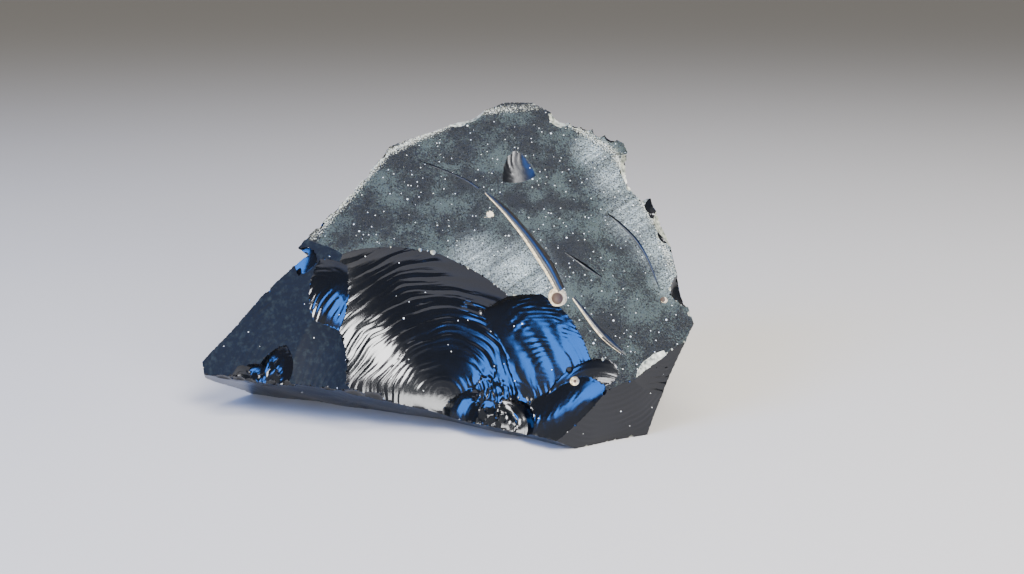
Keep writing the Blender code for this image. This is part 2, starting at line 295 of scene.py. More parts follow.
def facet_height(spot):
    """The height of crushed glass at a place: small flat facets, each tilted by chance."""
    middle = noise.voronoi(spot / FACET_SIZE)[1][0]
    tilt = noise.noise_vector(middle * FACET_SPREAD) * FACET_TILT
    away = spot - middle * FACET_SIZE
    return tilt.x * away.x + tilt.y * away.y


def break_depth(fracture, sizes):
    """A function that gives the fracture surface's height over its centre plane at u, v."""
    centre, turn = Vector(fracture.centre), facing(fracture.faces)
    bend_u, bend_v = fracture.bend
    seed = sum(fracture.centre)
    old = fracture.finish == OLD
    uneven = WAVE_SHARE * min(fracture.reach, WAVE_REACH)
    small = min(fracture.reach, FINE_FULL_REACH) / FINE_FULL_REACH
    calm = FINE_CALM * fracture.reach
    wave_u, wave_v = WAVES_FROM.get(fracture.name, fracture.blow)
    run = RIPPLE_END * fracture.reach
    run += math.hypot(wave_u - fracture.blow[0], wave_v - fracture.blow[1])
    crushed = [(Vector(place), radius) for place, radius in CRUSHED if fracture.finish == FRESH]
    everywhere, patchy = FINE_STRENGTH
    waves = [
        (sizes.fine_spacing * spacing, sizes.fine_relief * relief * small * (left if old else 1))
        for spacing, relief, left in FINE_WAVES
    ]

    def depth(u, v):
        spot = Vector((u, v, seed))
        away = math.hypot(u - wave_u, v - wave_v)
        height = u * u / (2 * bend_u) + v * v / (2 * bend_v) + noise.noise(spot / WAVE_LENGTH) * uneven
        stray = sum(noise.noise(spot / length) * size for length, size in RIPPLE_STRAYS)
        if fracture.rings and away < run:
            share = max(away + stray * min(1, away / RIPPLE_STRAY_FROM), 0) / run
            coming = noise.noise(spot / RIPPLE_PATCH + RIPPLE_PATCH_PLACE)
            patch = RIPPLE_STRENGTH + RIPPLE_STRENGTH * coming
            swell = fracture.relief * (0.5 + 0.5 * share) * sizes.ripple_share
            height += swell * ripple(fracture.rings * share ** RIPPLE_CROWDING) * patch
        for number, (length, relief) in enumerate(waves):
            coming = noise.noise(spot / FINE_PATCH + Vector((9 * number, 0, 5)))
            strength = (everywhere + patchy * coming) * min(away / calm, 1)
            if strength > 0:
                height += relief * strength * ripple((away + stray * FINE_STRAY) / length)
        place = centre + turn @ Vector((u, v, height))
        inside = max([1 - (place - middle).length / radius for middle, radius in crushed], default=0)
        if inside > 0:
            height += facet_height(spot) * min(inside / CRUSHED_EDGE, 1)
        if old:
            length, relief = OLD_SWELL
            height += sizes.old_relief * noise.fractal(spot / OLD_GRAIN, *OLD_GRAIN_LAYERS)
            height += sizes.old_relief * relief * noise.noise(spot / length + OLD_SWELL_PLACE)
        return height

    return depth


def closed_tool(name, points, faces, finishes):
    """A closed cutter, wound outwards, whose faces carry the finish that they leave in the glass."""
    mesh = bpy.data.meshes.new(name)
    mesh.from_pydata(points, [], faces)
    for glass in GLASS_NAMES:
        mesh.materials.append(bpy.data.materials[glass])
    mesh.polygons.foreach_set("material_index", finishes)
    shape = bmesh.new()
    shape.from_mesh(mesh)
    bmesh.ops.recalc_face_normals(shape, faces=shape.faces)
    shape.to_mesh(mesh)
    shape.free()
    tool = bpy.data.objects.new(name, mesh)
    bpy.context.scene.collection.objects.link(tool)
    return tool


def disc(reach, blow, step, arc):
    """A round grid about the blow: the points, the faces, and the ring of points at its rim.

    Its steps along the rings are as long as arc half way out.
    """
    count = max(int(reach / step), FEWEST_RINGS)
    sides = max(int(TURN * 0.5 * reach / arc), FEWEST_SIDES)
    points = [blow]
    for ring in range(1, count + 1):
        for side in range(sides):
            angle = TURN * side / sides
            radius = reach * ring / count
            points.append((blow[0] + radius * math.cos(angle), blow[1] + radius * math.sin(angle)))
    faces = [(0, 1 + side, 1 + (side + 1) % sides) for side in range(sides)]
    for ring in range(count - 1):
        low = 1 + ring * sides
        for side in range(sides):
            after = (side + 1) % sides
            faces.append((low + side, low + sides + side, low + sides + after, low + after))
    return points, faces, list(range(len(points) - sides, len(points)))


def stations(reach, near, step):
    """Places across a sheet: evenly spaced near the middle, and wide apart beyond the chunk."""
    count = int(near / step)
    inside = [near * place / count for place in range(-count, count + 1)]
    outside = [near + (reach - near) * (place / SHEET_OUTER) ** 2 for place in range(1, SHEET_OUTER + 1)]
    return [-place for place in reversed(outside)] + inside + outside


def sheet(reach, near, step):
    """A square grid: the points, the faces, and the ring of points at its rim."""
    across = stations(reach, near, step)
    side = len(across)
    points = [(u, v) for v in across for u in across]
    faces = [
        (row * side + place, row * side + place + 1, (row + 1) * side + place + 1, (row + 1) * side + place)
        for row in range(side - 1)
        for place in range(side - 1)
    ]
    last = side - 1
    rim = list(range(last))
    rim += [row * side + last for row in range(last)]
    rim += [last * side + last - place for place in range(last)]
    rim += [(last - row) * side for row in range(last)]
    return points, faces, rim


def fracture_tool(fracture, sizes):
    """A closed cutter whose underside is the fracture surface, fine enough for its small ripples."""
    turn = facing(fracture.faces)
    depth = break_depth(fracture, sizes)
    behind = abs(fracture.faces[0]) > 90
    if fracture.name == "weathered_face":
        flat, faces, rim = sheet(fracture.reach, SHEET_NEAR, sizes.spacing * SHEET_STEP)
    else:
        broad = fracture in FACES
        step = sizes.spacing * (FACE_STEP if broad else 1) * (BACK_STEP if behind else 1)
        arc = sizes.spacing * (COARSE_ARC if broad or behind else FINE_ARC)
        if fracture.reach > FAR_REACH:
            step, arc = step * FAR_STEP, arc * FAR_STEP
        flat, faces, rim = disc(fracture.reach, fracture.blow, step, arc)
    centre = Vector(fracture.centre)
    points = [(centre + turn @ Vector((u, v, depth(u, v)))) * MM for u, v in flat]
    first = len(points)
    points += [(centre + turn @ Vector((*flat[place], LID))) * MM for place in rim]
    for number, place in enumerate(rim):
        after = (number + 1) % len(rim)
        faces.append((place, rim[after], first + after, first + number))
    faces.append(tuple(range(first, first + len(rim))))
    return closed_tool(fracture.name, points, faces, [fracture.finish] * len(faces))


def groove_tool(name, *knots):
    """A tapered round bar that lies half sunk in the glass: its lower left side leaves a cream lining."""
    inward = facing(FACES[0].faces) @ Vector((0, 0, -GROOVE_SINK))
    curve = bpy.data.curves.new(name, "CURVE")
    curve.dimensions = "3D"
    curve.bevel_depth = MM
    curve.bevel_resolution = 6
    curve.resolution_u = 24
    curve.use_fill_caps = True
    spline = curve.splines.new("BEZIER")
    spline.bezier_points.add(len(knots) - 1)
    for knot, (place, radius) in zip(spline.bezier_points, knots):
        knot.co = (Vector(place) + inward * radius) * MM
        knot.radius = radius
        knot.handle_left_type = knot.handle_right_type = "AUTO"
    guide = bpy.data.objects.new(name + "_guide", curve)
    mesh = bpy.data.meshes.new_from_object(guide)
    bpy.data.objects.remove(guide)
    shape = bmesh.new()
    shape.from_mesh(mesh)
    bmesh.ops.remove_doubles(shape, verts=shape.verts, dist=0.001 * MM)
    bmesh.ops.recalc_face_normals(shape, faces=shape.faces)
    lining = Vector(GROOVE_LINING)
    lined = GROOVE_LINED if name.endswith("groove") else 1
    finishes = [CRUST if face.normal.dot(lining) > lined else SILKY for face in shape.faces]
    points = [corner.co.copy() for corner in shape.verts]
    faces = [[corner.index for corner in face.verts] for face in shape.faces]
    shape.free()
    return closed_tool(name, points, faces, finishes)


def nick_fractures():
    """Small scallops of uneven size along the sharp edges."""
    across, above = NICK_TURNS
    nicks = []
    for name, first, last, count, faces, width in NICKS:
        chance = random.Random(name + str(NICK_SEED))
        for number in range(count):
            share = (number + chance.uniform(*NICK_PLACES)) / count
            size = width * chance.uniform(*NICK_SIZES)
            turned = (
                faces[0] + chance.uniform(-across, across), faces[1] + chance.uniform(-above, above), 0
            )
            sunk = facing(turned) @ Vector((0, 0, size * NICK_SINK))
            place = Vector(first).lerp(Vector(last), share) - sunk
            bend, reach = (size, size), size * NICK_REACH
            nicks.append(Fracture(f"{name}_{number}", place, turned, bend, (0, 0), reach, 0, 0.0, FRESH))
    return nicks


def crumbles(edge):
    """Whether an edge of the struck glass is sharp enough to crumble."""
    if any(face.material_index in (CRUST, SILKY) for face in edge.link_faces):
        return False
    if len(edge.link_faces) != 2 or not edge.is_convex:
        return False
    return edge.calc_face_angle() >= math.radians(CRUMB_ANGLE)


def crumb_tool(mesh):
    """One cutter of many small pebbles, none touching another, set along the sharp edges."""
    chance = random.Random(CRUMB_SEED)
    smallest, largest = CRUMB_SIZES
    everywhere, patchy = CRUMB_WEAR
    shape = bmesh.new()
    shape.from_mesh(mesh)
    pebble = bmesh.new()
    bmesh.ops.create_icosphere(pebble, subdivisions=1, radius=1)
    round_points = [corner.co.copy() for corner in pebble.verts]
    round_faces = [[corner.index for corner in face.verts] for face in pebble.faces]
    pebble.free()
    points, faces, finishes, taken = [], [], [], []
    for edge in filter(crumbles, shape.edges):
        middle = (edge.verts[0].co + edge.verts[1].co) / 2 / MM
        amount = everywhere + patchy * noise.noise(middle / CRUMB_PATCH)
        if chance.random() > amount * edge.calc_length() / MM / CRUMB_SPACING:
            continue
        size = smallest + (largest - smallest) * chance.random() ** CRUMB_RARITY
        out = (edge.link_faces[0].normal + edge.link_faces[1].normal).normalized()
        centre = middle + out * size * chance.uniform(*CRUMB_OUT)
        if any((centre - other).length < CRUMB_GAP * (size + across) for other, across in taken):
            continue
        taken.append((centre, size))
        first = len(points)
        for point in round_points:
            rough = 1 + CRUMB_ROUGHNESS * noise.noise(point * CRUMB_LUMPS + centre)
            points.append((centre + point * size * rough) * MM)
        faces += [[first + corner for corner in face] for face in round_faces]
        pale = chance.random() < CRUMB_PALE and any(face.material_index == OLD for face in edge.link_faces)
        finishes += [BRUISED if pale else FRESH] * len(round_faces)
    shape.free()
    return closed_tool("crumbs", points, faces, finishes)


def block_mesh():
    """The block of glass that the chunk is struck from."""
    half = Vector(BLOCK) * MM / 2
    stand = Matrix.Translation((0, BLOCK_BACK * MM, half.z)) @ Matrix.Diagonal((*half, 1))
    shape = bmesh.new()
    bmesh.ops.create_cube(shape, size=2, matrix=stand)
    mesh = bpy.data.meshes.new("block")
    shape.to_mesh(mesh)
    shape.free()
    for glass in GLASS_NAMES:
        mesh.materials.append(bpy.data.materials[glass])
    return mesh


def strike(mesh, tools):
    """Take every tool off a mesh, and keep the finish of each break."""
    block = bpy.data.objects.new("struck", mesh)
    bpy.context.scene.collection.objects.link(block)
    for tool in tools:
        cut = block.modifiers.new(tool.name, "BOOLEAN")
        cut.operation = "DIFFERENCE"
        cut.solver = "MANIFOLD"
        cut.material_mode = "TRANSFER"
        cut.object = tool
    bpy.context.view_layer.update()
    struck = block.evaluated_get(bpy.context.evaluated_depsgraph_get())
    mesh = bpy.data.meshes.new_from_object(struck, depsgraph=bpy.context.evaluated_depsgraph_get())
    for tool in tools:
        bpy.data.objects.remove(tool)
    bpy.data.objects.remove(block)
    if not mesh.polygons:
        raise RuntimeError("nothing is left of the glass: a cutter is open or inside out")
    return mesh


def fit_box(mesh, box):
    """Shift and scale the mesh by a hair so that it fills the solid's own box exactly."""
    points = np.empty(len(mesh.vertices) * 3)
    mesh.vertices.foreach_get("co", points)
    points = points.reshape(-1, 3)
    low, high = points.min(0), points.max(0)
    target_low, target_high = (np.array(corner) for corner in box)
    points = target_low + (points - low) / (high - low) * (target_high - target_low)
    mesh.vertices.foreach_set("co", points.ravel())
    mesh.update()


# ---------------------------------------------------------------------------
# Materials
# ---------------------------------------------------------------------------

GLASS_IOR = 1.5

# Widths of the patterns, in millimetres: smears on fresh glass; film clouds and pits on old glass;
# the fine ragged outline of its crust; mottling and grain of dulled glass; grain of crust and bruises
SMEAR_WIDTH = 2.857
CLOUD_WIDTH = 9.091
# The real pits are a tenth of this, too fine to show, so they are drawn coarser
PIT_WIDTH = 0.3846
PIT_DEPTH = 0.0004
RAGGED_WIDTH = 1.111
RAGGED_REACH = 3
MOTTLE_WIDTH = 1.4286
DULL_GRAIN_WIDTH = 1.6667
CRUST_GRAIN_WIDTH = 0.625
BRUISE_GRAIN_WIDTH = 0.8333

# The old face is combed with faint straight streaks: their width and length, across and along them
STREAK_WIDTH = 0.9091
STREAK_LENGTH = 20
STREAK_ACROSS = Vector((-0.62, 0.48, 0.61)) / STREAK_WIDTH
STREAK_ALONG = Vector((0.78, 0.42, 0.46)) / STREAK_LENGTH

# Layers of dust, fine and coarse: how far apart its grains lie in millimetres, the share of their
# places that hold one, and a grain's radius over that distance. Real dust is finer than a pixel, so
# only its largest grains are drawn
FRESH_DUST = ((0.8, 0.1, 0.16), (2.6, 0.3, 0.08))
OLD_DUST = ((0.7, 0.22, 0.2), (2.1, 0.25, 0.11))
DULLED_DUST = ((0.8, 0.13, 0.17),)

# Roughness of a break where it is clean and where it is smeared
FRESH_GLOSS = (0.07, 0.2)
SILKY_GLOSS = (0.26, 0.36)
DULLED_GLOSS = (0.6, 0.85)

# Where the old face is painted pale as the lamps' sheen on it, along the right edge and by the main scar's
# rim: a place and a radius, in millimetres
SHEEN_PAINTED_PATCHES = (
    ((17, -5, 38), 12), ((8, -4, 40), 10), ((23, -8, 35), 8),
    ((47, 7, 49), 11), ((53, 1, 43), 10), ((56, -4, 36), 8), ((42, 14, 57), 9), ((37, 19, 63), 8),
)
# Stretches of the old face's rim that are frosted by small knocks, and how far the frost reaches in
FROSTED_RIMS = (
    ((-32.4, 0.2, 45.4), (-15, 15.6, 63.9)), ((-15, 15.6, 63.9), (1, 22, 70.5)),
    ((4, 24, 73), (24, 25.5, 75)), ((30, 23.8, 71.2), (43, 18.5, 63.5)),
    ((43, 18, 62), (52, 6, 47.5)), ((53, 4, 45), (57.5, -6, 33)),
)
FROST_REACH = 2.4
# Cream crust that has crept out of the bubbles, and a spot by itself: a place and a radius
CRUST_SPOTS = (((27.1, -8.1, 31.6), 2.7), ((10.9, 3.9, 49.9), 1.6), ((29.5, -7.2, 32.8), 1.4))


def linear(code):
    """An sRGB hex colour such as "1a2b3c" as the linear RGBA that shaders take."""
    shares = [int(code[place:place + 2], 16) / 255 for place in (0, 2, 4)]
    light = [share / 12.92 if share <= 0.04045 else ((share + 0.055) / 1.055) ** 2.4 for share in shares]
    return light + [1]


def add_node(tree, kind, inputs=(), **settings):
    """Add a node with its settings, and set or link its inputs.

    A Mix node of colours takes its share at input 0 and its colours at 6 and 7, and gives output 2.
    """
    node = tree.nodes.new(kind)
    for name, value in settings.items():
        setattr(node, name, value)
    for key, value in dict(inputs).items():
        if isinstance(value, bpy.types.NodeSocket):
            tree.links.new(value, node.inputs[key])
        else:
            node.inputs[key].default_value = value
    return node


def new_material(name):
    """A material that isn't metal, its shader, and where the surface lies in the tables' millimetres."""
    material = bpy.data.materials.new(name)
    material.use_nodes = True
    tree = material.node_tree
    surface = tree.nodes["Principled BSDF"]
    surface.inputs["IOR"].default_value = GLASS_IOR
    surface.inputs["Metallic"].default_value = 0.0
    place = add_node(tree, "ShaderNodeTexCoord")
    in_mm = add_node(
        tree, "ShaderNodeVectorMath", {0: place.outputs["Object"], 1: [1 / MM] * 3, 2: TABLE_ORIGIN},
        operation="MULTIPLY_ADD",
    )
    return material, tree, surface, in_mm.outputs[0]


def largest(tree, shares):
    """The largest of some shares at each place."""
    most = shares[0]
    for share in shares[1:]:
        most = add_node(tree, "ShaderNodeMath", {0: most, 1: share}, operation="MAXIMUM").outputs[0]
    return most


def near(tree, spot, patches):
    """1 at the middle of any patch, a place and a radius in millimetres, and 0 outside them all."""
    shares = []
    for place, radius in patches:
        away = add_node(tree, "ShaderNodeVectorMath", {0: spot, 1: place}, operation="DISTANCE")
        inside = add_node(
            tree, "ShaderNodeMapRange",
            {"Value": away.outputs["Value"], "From Min": radius, "From Max": 0.0},
            interpolation_type="SMOOTHSTEP",
        )
        shares.append(inside.outputs[0])
    return largest(tree, shares)


def near_lines(tree, spot, lines, reach):
    """1 on any of some straight lines and 0 farther than reach from them all, in millimetres."""
    shares = []
    for first, last in lines:
        first, run = Vector(first), Vector(last) - Vector(first)
        over, start = run / run.length_squared, first.dot(run) / run.length_squared
        gone = add_node(tree, "ShaderNodeVectorMath", {0: spot, 1: over}, operation="DOT_PRODUCT")
        along = add_node(
            tree, "ShaderNodeMath", {0: gone.outputs["Value"], 1: start},
            operation="SUBTRACT", use_clamp=True,
        )
        closest = add_node(
            tree, "ShaderNodeVectorMath", {0: along.outputs[0], 1: run, 2: first}, operation="MULTIPLY_ADD"
        )
        away = add_node(tree, "ShaderNodeVectorMath", {0: spot, 1: closest.outputs[0]}, operation="DISTANCE")
        inside = add_node(
            tree, "ShaderNodeMapRange", {"Value": away.outputs["Value"], "From Min": reach, "From Max": 0.0}
        )
        shares.append(inside.outputs[0])
    return largest(tree, shares)


def dust(tree, spot, layers):
    """Grains of dust: 1 on a grain of any layer, and 0 between them."""
    shares = []
    for spacing, kept, size in layers:
        cells = add_node(
            tree, "ShaderNodeTexVoronoi", {"Vector": spot, "Scale": 1 / spacing, "Randomness": 1.0}
        )
        grain = add_node(
            tree, "ShaderNodeMath", {0: cells.outputs["Distance"], 1: size}, operation="LESS_THAN"
        )
        chosen = add_node(
            tree, "ShaderNodeMath", {0: cells.outputs["Color"], 1: kept}, operation="LESS_THAN"
        )
        both = add_node(
            tree, "ShaderNodeMath", {0: grain.outputs[0], 1: chosen.outputs[0]}, operation="MULTIPLY"
        )
        shares.append(both.outputs[0])
    return largest(tree, shares)


def fresh_glass(colours, name="fresh_obsidian", gloss=FRESH_GLOSS):
    """Obsidian, freshly broken."""
    # The blow leaves near-black glass as smooth as a mirror: the eye gets sharp lamps in black, a
    # little softer where it is smeared, and pale grains of dust
    _, tree, surface, spot = new_material(name)
    specks = dust(tree, spot, FRESH_DUST)
    smear = add_node(tree, "ShaderNodeTexNoise", {"Vector": spot, "Scale": 1 / SMEAR_WIDTH, "Detail": 4.0})
    colour = add_node(
        tree, "ShaderNodeMix", {0: specks, 6: colours.fresh, 7: colours.dust}, data_type="RGBA"
    )
    tree.links.new(colour.outputs[2], surface.inputs["Base Color"])
    polish = add_node(
        tree, "ShaderNodeMapRange", {"Value": smear.outputs[0], "To Min": gloss[0], "To Max": gloss[1]}
    )
    rough = add_node(tree, "ShaderNodeMath", {0: specks, 1: polish.outputs[0]}, operation="MAXIMUM")
    tree.links.new(rough.outputs[0], surface.inputs["Roughness"])


def silky_glass(colours):
    """The obsidian wall of a drawn-out gas tube."""
    # Gas stretched it while it was soft, which left it finely lined: the eye gets a soft, silky gloss
    fresh_glass(colours, "silky_obsidian", SILKY_GLOSS)


def old_glass(colours):
    """Obsidian that has long lain open."""
    # Water has pitted it, and a grey film sits in the pits: the eye gets a dark speckled sheen with
    # no sharp mirror in it, pale combed patches of painted sheen, a frosted rim, spots of crust and grains
    # of dust
    _, tree, surface, spot = new_material("weathered_obsidian")
    surface.inputs["Specular IOR Level"].default_value = 0.34
    cloud = add_node(
        tree, "ShaderNodeTexNoise",
        {"Vector": spot, "Scale": 1 / CLOUD_WIDTH, "Detail": 6.0, "Roughness": 0.65},
    )
    pits = add_node(
        tree, "ShaderNodeTexNoise", {"Vector": spot, "Scale": 1 / PIT_WIDTH, "Detail": 3.0, "Roughness": 0.8}
    )
    # The film: grey where clouds and pits are strong together
    film = add_node(tree, "ShaderNodeMath", {0: cloud.outputs[0], 1: pits.outputs[0]}, operation="ADD")
    cover = add_node(
        tree, "ShaderNodeMapRange", {"Value": film.outputs[0], "From Min": 1.0, "From Max": 1.09}
    )
    skin = add_node(
        tree, "ShaderNodeMix", {0: cover.outputs[0], 6: colours.old, 7: colours.film}, data_type="RGBA"
    )
    # Painted sheen: pale patches that stand in for the lamps' sheen on the old face, combed by the streaks
    # and broken by the pits
    patches = near(tree, spot, SHEEN_PAINTED_PATCHES)
    across = add_node(tree, "ShaderNodeVectorMath", {0: spot, 1: STREAK_ACROSS}, operation="DOT_PRODUCT")
    along = add_node(tree, "ShaderNodeVectorMath", {0: spot, 1: STREAK_ALONG}, operation="DOT_PRODUCT")
    combed = add_node(
        tree, "ShaderNodeCombineXYZ", {0: across.outputs["Value"], 1: along.outputs["Value"]}
    )
    streaks = add_node(
        tree, "ShaderNodeTexNoise", {"Vector": combed.outputs[0], "Scale": 1.0, "Detail": 4.0}
    )
    rubbed = add_node(
        tree, "ShaderNodeMapRange",
        {"Value": streaks.outputs[0], "From Min": 0.3, "From Max": 0.65, "To Min": 0.3},
    )
    broken = add_node(
        tree, "ShaderNodeMapRange", {"Value": pits.outputs[0], "From Min": 0.4, "From Max": 0.56}
    )
    amount = add_node(tree, "ShaderNodeMath", {0: patches, 1: rubbed.outputs[0]}, operation="MULTIPLY")
    painted_sheen = add_node(
        tree, "ShaderNodeMath", {0: amount.outputs[0], 1: broken.outputs[0]}, operation="MULTIPLY"
    )
    pale = add_node(
        tree, "ShaderNodeMix", {0: painted_sheen.outputs[0], 6: skin.outputs[2], 7: colours.pale}, data_type="RGBA"
    )
    # Frost: the rim, broken by the pits
    rim = near_lines(tree, spot, FROSTED_RIMS, FROST_REACH)
    knocked = add_node(
        tree, "ShaderNodeMath", {0: rim, 1: 0.3, 2: pits.outputs[0]}, operation="MULTIPLY_ADD"
    )
    frosted = add_node(
        tree, "ShaderNodeMapRange",
        {"Value": knocked.outputs[0], "From Min": 0.69, "From Max": 0.78, "To Max": 0.8},
    )
    frost = add_node(
        tree, "ShaderNodeMix", {0: frosted.outputs[0], 6: pale.outputs[2], 7: colours.bruise},
        data_type="RGBA",
    )
    # Crust: its spots, with an outline that is shaken out of round, about as far each way
    shake = add_node(
        tree, "ShaderNodeTexNoise", {"Vector": spot, "Scale": 1 / RAGGED_WIDTH, "Detail": 3.0}
    )
    shaken = add_node(
        tree, "ShaderNodeVectorMath", {0: shake.outputs["Color"], 1: [RAGGED_REACH] * 3, 2: spot},
        operation="MULTIPLY_ADD",
    )
    middle = Vector([RAGGED_REACH / 2] * 3)
    tan = near(tree, shaken.outputs[0], [(Vector(place) + middle, reach) for place, reach in CRUST_SPOTS])
    ringed = add_node(tree, "ShaderNodeMath", {0: tan, 1: 0.3}, operation="GREATER_THAN")
    crusted = add_node(
        tree, "ShaderNodeMix", {0: ringed.outputs[0], 6: frost.outputs[2], 7: colours.crust},
        data_type="RGBA",
    )
    specks = dust(tree, spot, OLD_DUST)
    colour = add_node(
        tree, "ShaderNodeMix", {0: specks, 6: crusted.outputs[2], 7: colours.dust}, data_type="RGBA"
    )
    tree.links.new(colour.outputs[2], surface.inputs["Base Color"])
    gloss = add_node(
        tree, "ShaderNodeMapRange",
        {"Value": pits.outputs[0], "From Min": 0.35, "From Max": 0.62, "To Min": 0.24, "To Max": 0.62},
    )
    tree.links.new(gloss.outputs[0], surface.inputs["Roughness"])
    bump = add_node(
        tree, "ShaderNodeBump", {"Height": pits.outputs[0], "Distance": PIT_DEPTH, "Strength": 1.0}
    )
    tree.links.new(bump.outputs[0], surface.inputs["Normal"])


def dulled_glass(colours):
    """Obsidian dulled by handling: a break of middle age."""
    # Scratches too fine to see have taken its mirror, and film has settled in them: the eye gets a
    # soft blue-black, a little mottled, with grains of dust
    _, tree, surface, spot = new_material("dulled_obsidian")
    surface.inputs["Specular IOR Level"].default_value = 0.18
    specks = dust(tree, spot, DULLED_DUST)
    mottle = add_node(
        tree, "ShaderNodeTexNoise",
        {"Vector": spot, "Scale": 1 / MOTTLE_WIDTH, "Detail": 7.0, "Roughness": 0.7},
    )
    cover = add_node(
        tree, "ShaderNodeMapRange", {"Value": mottle.outputs[0], "From Min": 0.5, "From Max": 1.1}
    )
    film = add_node(
        tree, "ShaderNodeMix", {0: cover.outputs[0], 6: colours.dulled, 7: colours.film}, data_type="RGBA"
    )
    colour = add_node(
        tree, "ShaderNodeMix", {0: specks, 6: film.outputs[2], 7: colours.dust}, data_type="RGBA"
    )
    tree.links.new(colour.outputs[2], surface.inputs["Base Color"])
    grain = add_node(
        tree, "ShaderNodeTexNoise", {"Vector": spot, "Scale": 1 / DULL_GRAIN_WIDTH, "Detail": 6.0}
    )
    low, high = DULLED_GLOSS
    gloss = add_node(
        tree, "ShaderNodeMapRange", {"Value": grain.outputs[0], "To Min": low, "To Max": high}
    )
    tree.links.new(gloss.outputs[0], surface.inputs["Roughness"])


def bubble_crust(colours):
    """Mineral crust: the lining that hot gas left in a bubble or a tube of the obsidian."""
    # Fine powder grown on the glass: the eye gets matt cream, brown in the hollows and in blotches
    _, tree, surface, spot = new_material("mineral_crust")
    surface.inputs["Roughness"].default_value = 0.7
    grain = add_node(
        tree, "ShaderNodeTexNoise", {"Vector": spot, "Scale": 1 / CRUST_GRAIN_WIDTH, "Detail": 5.0}
    )
    deep = near(tree, spot, [(bubble.centre, bubble.reach) for bubble in BUBBLES])
    depth = add_node(tree, "ShaderNodeMapRange", {"Value": deep, "From Min": 0.04, "From Max": 0.2})
    blotches = add_node(
        tree, "ShaderNodeMapRange",
        {"Value": grain.outputs[0], "From Min": 0.6, "From Max": 0.35, "To Max": 0.7},
    )
    brown = add_node(
        tree, "ShaderNodeMath", {0: depth.outputs[0], 1: blotches.outputs[0]}, operation="MAXIMUM"
    )
    colour = add_node(
        tree, "ShaderNodeMix", {0: brown.outputs[0], 6: colours.crust, 7: colours.crust_dark},
        data_type="RGBA",
    )
    tree.links.new(colour.outputs[2], surface.inputs["Base Color"])


def bruised_glass(colours):
    """Obsidian crushed along an edge by knocks."""
    # The cracks in it are too fine to see and scatter the light: the eye gets a mottled pale grey.
    # On the corner chip this pale grey is painted reflection, not a bruise.
    _, tree, surface, spot = new_material("bruised_obsidian")
    surface.inputs["Roughness"].default_value = 0.35
    grain = add_node(
        tree, "ShaderNodeTexNoise", {"Vector": spot, "Scale": 1 / BRUISE_GRAIN_WIDTH, "Detail": 6.0}
    )
    share = add_node(
        tree, "ShaderNodeMapRange", {"Value": grain.outputs[0], "From Min": 0.3, "From Max": 0.75}
    )
    colour = add_node(
        tree, "ShaderNodeMix", {0: share.outputs[0], 6: colours.film, 7: colours.bruise}, data_type="RGBA"
    )
    tree.links.new(colour.outputs[2], surface.inputs["Base Color"])


def paper_sweep(colours):
    """Backdrop paper, pressed matt."""
    # Plain fibres: the eye gets an even pale ground that takes soft shadows
    material, _, surface, _ = new_material("backdrop_paper")
    surface.inputs["Base Color"].default_value = colours.floor
    surface.inputs["Roughness"].default_value = 0.9
    return material


# ---------------------------------------------------------------------------
# Settings, operators and panel
# ---------------------------------------------------------------------------

# The camera: its focal length in mm, how far it looks down, and where it stands
CAMERA_SENSOR = 36
CAMERA_LENS = 42.19
CAMERA_TILT = 14.0
CAMERA_PLACE = (16.3, -286.8, 104.1)

# Soft lamps, in metres and watts: where each stands across and above the front of the chunk, its
# size, its power and its colour. The cool window is what the second scar mirrors
LAMP_DISTANCE = 0.9
LAMP_AIM = (0, 0, 0.035)
LAMPS = (
    ("cool_window", (-50, 34), (0.42, 0.36), 12.0, "3f8cff"),
    ("key", (28, 43), (0.34, 0.34), 20.0, "ffffff"),
    ("low_fill", (30, 12), (0.3, 0.2), 8.0, "ffffff"),
    ("overhead", (5, 72), (0.5, 0.16), 6.0, "ffffff"),
)
CEILING_SPREAD = 90
CEILING_POWER = 0.7
STUDIO_COLOUR = "c9c7c4"
STUDIO_POWER = 0.3
FLOOR_SIZE = 60


def colour_property(name, code, words):
    """A setting that holds a colour, given as sRGB hex."""
    return FloatVectorProperty(
        name=name, description=words, subtype="COLOR", size=4, min=0, max=1, default=linear(code)
    )


class ChunkSizes(bpy.types.PropertyGroup):
    """Sizes of the fine surface, in millimetres."""

    spacing: FloatProperty(
        name="Mesh spacing", description="Distance between rings of mesh, mm", default=0.23, min=0.1, max=2
    )
    ripple_share: FloatProperty(
        name="Ripple share", description="Ripple height over the solid's", default=0.35, min=0, max=1,
        subtype="FACTOR",
    )
    fine_spacing: FloatProperty(
        name="Fine ripple spacing", description="From crest to crest, mm", default=0.65, min=0.3, max=3
    )
    fine_relief: FloatProperty(
        name="Fine ripple height", description="Half the height, mm", default=0.034, min=0, max=0.2
    )
    old_relief: FloatProperty(
        name="Old face relief", description="Height of its grain, mm", default=0.05, min=0, max=0.5
    )


class ChunkColours(bpy.types.PropertyGroup):
    """Colours of the glass, its dust and the floor."""

    fresh: colour_property("Fresh glass", "07090d", "Body of the glass where it is freshly broken")
    dulled: colour_property("Dulled glass", "0a0e14", "Body of the glass where handling has dulled it")
    old: colour_property("Weathered glass", "080b0d", "Glass of the old face, between its film")
    # This pale colour is painted sheen: the lamps' sheen on the old face, painted into its colour
    pale: colour_property("Painted sheen", "9aa5a2", "Film of the old face where it is thick")
    film: colour_property("Weathered film", "333c39", "Grey film on the old face")
    dust: colour_property("Dust", "d9dcd8", "Grains of dust")
    crust: colour_property("Crust", "d9c7a3", "Lining of the bubbles")
    crust_dark: colour_property("Crust, dark", "36251a", "Hollows of the lining")
    bruise: colour_property("Bruised glass", "b5b5a4", "Crushed edges")
    floor: colour_property("Floor", "b4afa8", "Floor and backdrop")


